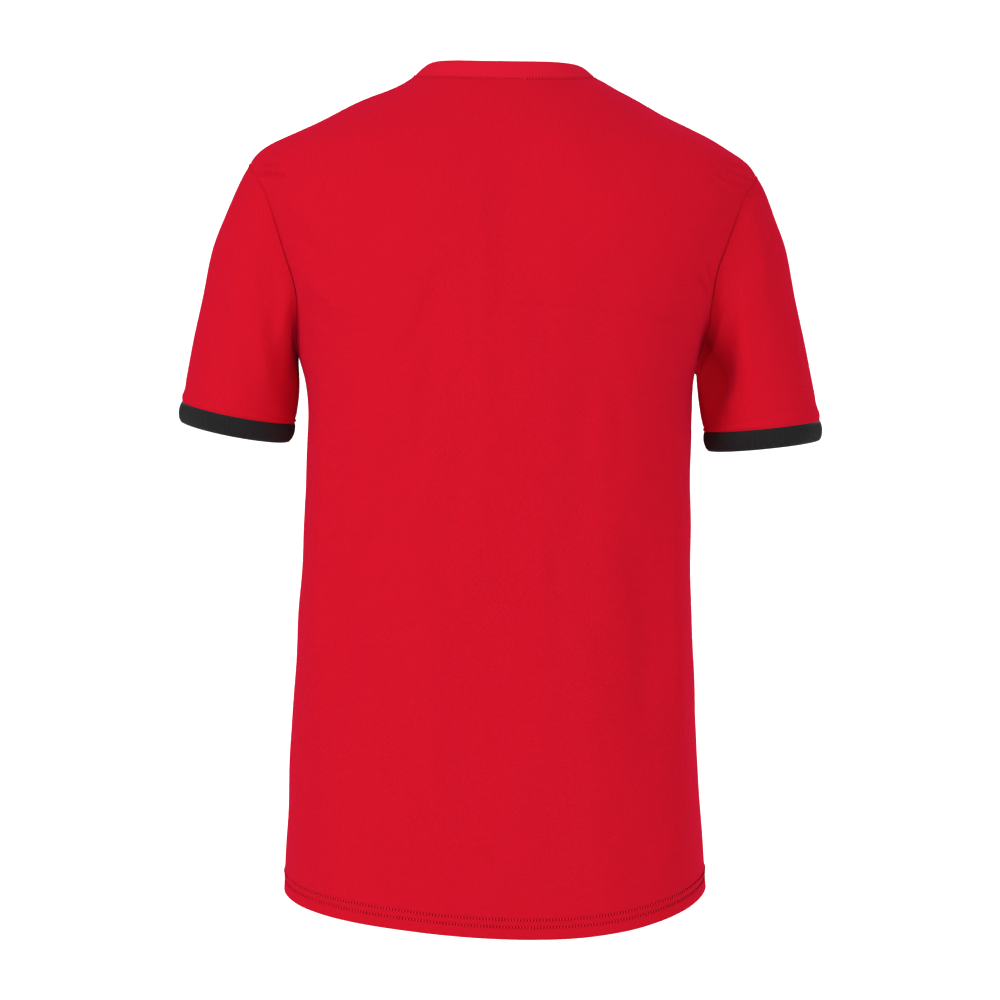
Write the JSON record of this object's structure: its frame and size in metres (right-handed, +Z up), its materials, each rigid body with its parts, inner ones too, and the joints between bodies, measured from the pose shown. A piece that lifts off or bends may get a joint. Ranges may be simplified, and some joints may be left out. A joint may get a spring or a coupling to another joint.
{
  "type": "football jersey",
  "caption": "Short-sleeved crew-neck football jersey, filled out and hollow with no wearer, open at the neck, hem and contrast rib cuffs, with a dropped tail at the back.",
  "frame": {"origin": "midway between the high points of the two shoulders, at the neck, where a wearer holds the garment up", "axes": "+Z up towards the neck, -Y the front of the garment, +Y its back, +X the wearer's left"},
  "size_m": [0.5508, 0.25, 0.7318],
  "materials": {
    "knit": "satin polyester interlock",
    "neck_band": "satin polyester interlock, folded double",
    "rib": "matt black rib knit"
  },
  "bodies": {
    "root": {"front": "knit", "back": "knit", "sleeve_left": "knit", "sleeve_right": "knit", "collar": "neck_band", "cuff_left": "rib", "cuff_right": "rib"}
  },
  "joints": []
}
